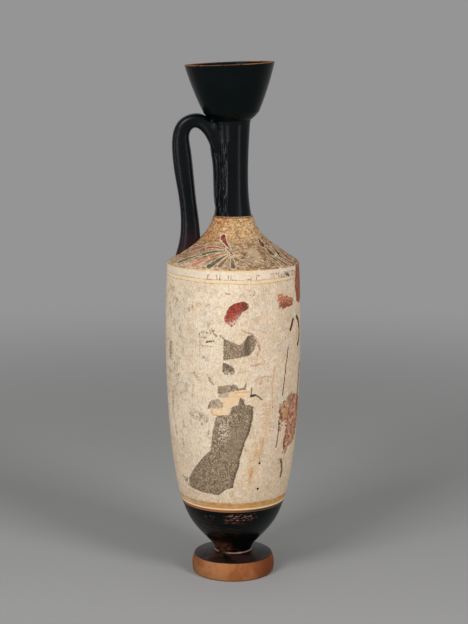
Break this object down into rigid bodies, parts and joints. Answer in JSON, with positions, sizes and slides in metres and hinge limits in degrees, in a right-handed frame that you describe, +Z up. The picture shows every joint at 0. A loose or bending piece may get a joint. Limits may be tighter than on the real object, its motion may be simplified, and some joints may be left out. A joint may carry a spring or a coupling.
{
  "type": "lekythos",
  "caption": "Tall oil jug with a disc foot, sloping shoulder, slim neck, flaring mouth and a strap handle, in black-glossed and white-slipped fired clay.",
  "frame": {"origin": "middle of the plane the foot rests on, on the body's axis", "axes": "+Z up along the body's axis; the handle is on the -X side, and the painted front faces -Y"},
  "size_m": [0.1002, 0.1002, 0.3823],
  "materials": {
    "clay": "satin"
  },
  "bodies": {
    "root": {"lekythos": "clay"}
  },
  "joints": []
}
